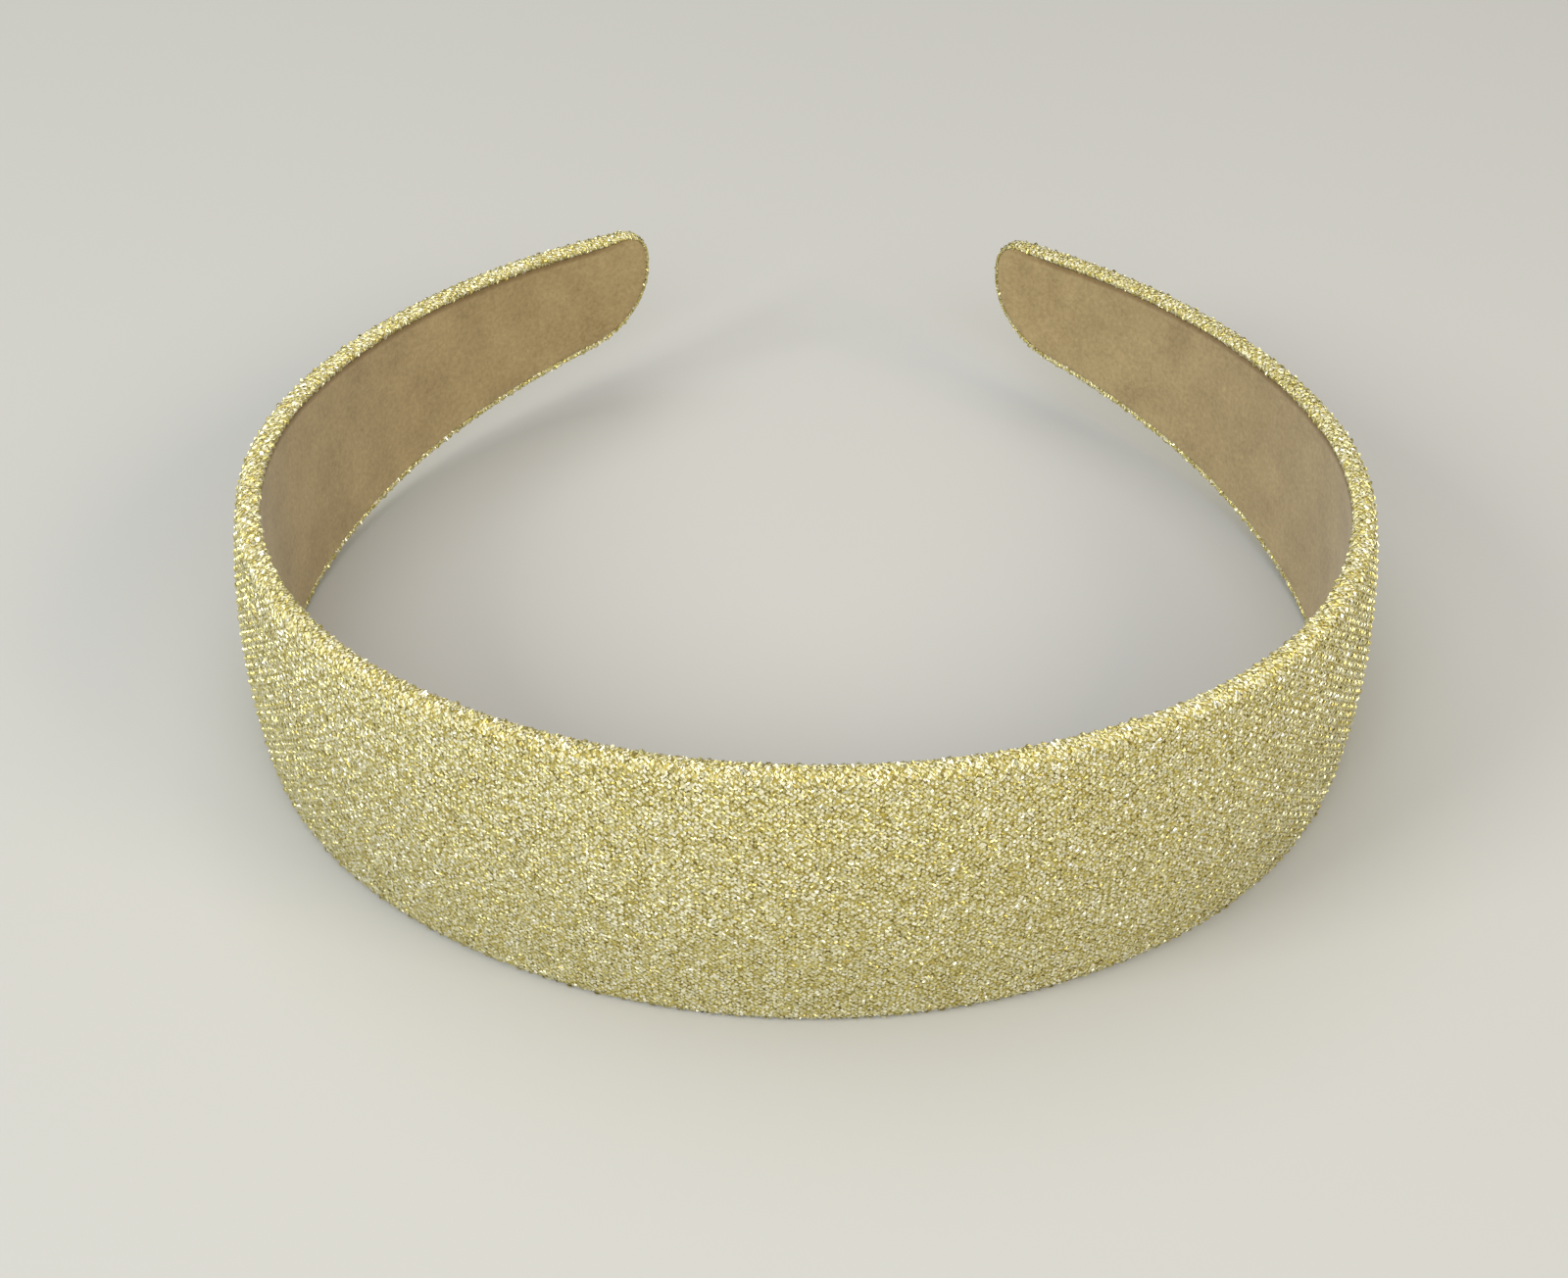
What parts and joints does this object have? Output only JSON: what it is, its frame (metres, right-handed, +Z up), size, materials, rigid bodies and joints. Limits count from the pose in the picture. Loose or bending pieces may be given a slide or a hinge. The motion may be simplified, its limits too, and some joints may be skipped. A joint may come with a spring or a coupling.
{
  "type": "fabric headband",
  "caption": "Stiff C-shaped headband covered in pale-gold metallic knit with a tan suede-like lining, wide at the crown and tapering to rounded tips, worn over the head to hold hair back.",
  "frame": {"origin": "under the middle of the bounding box, on the level surface that the band lies on", "axes": "+X from one side of the band to the other, +Y from the crown to the tips, +Z up from the surface"},
  "size_m": [0.1444, 0.1348, 0.0357],
  "materials": {
    "gold_knit": "pale-gold metallic knit with a fine sparkle",
    "tan_suede": "matt napped suede cloth"
  },
  "bodies": {
    "root": {"cover": "gold_knit", "lining": "tan_suede"}
  },
  "joints": []
}
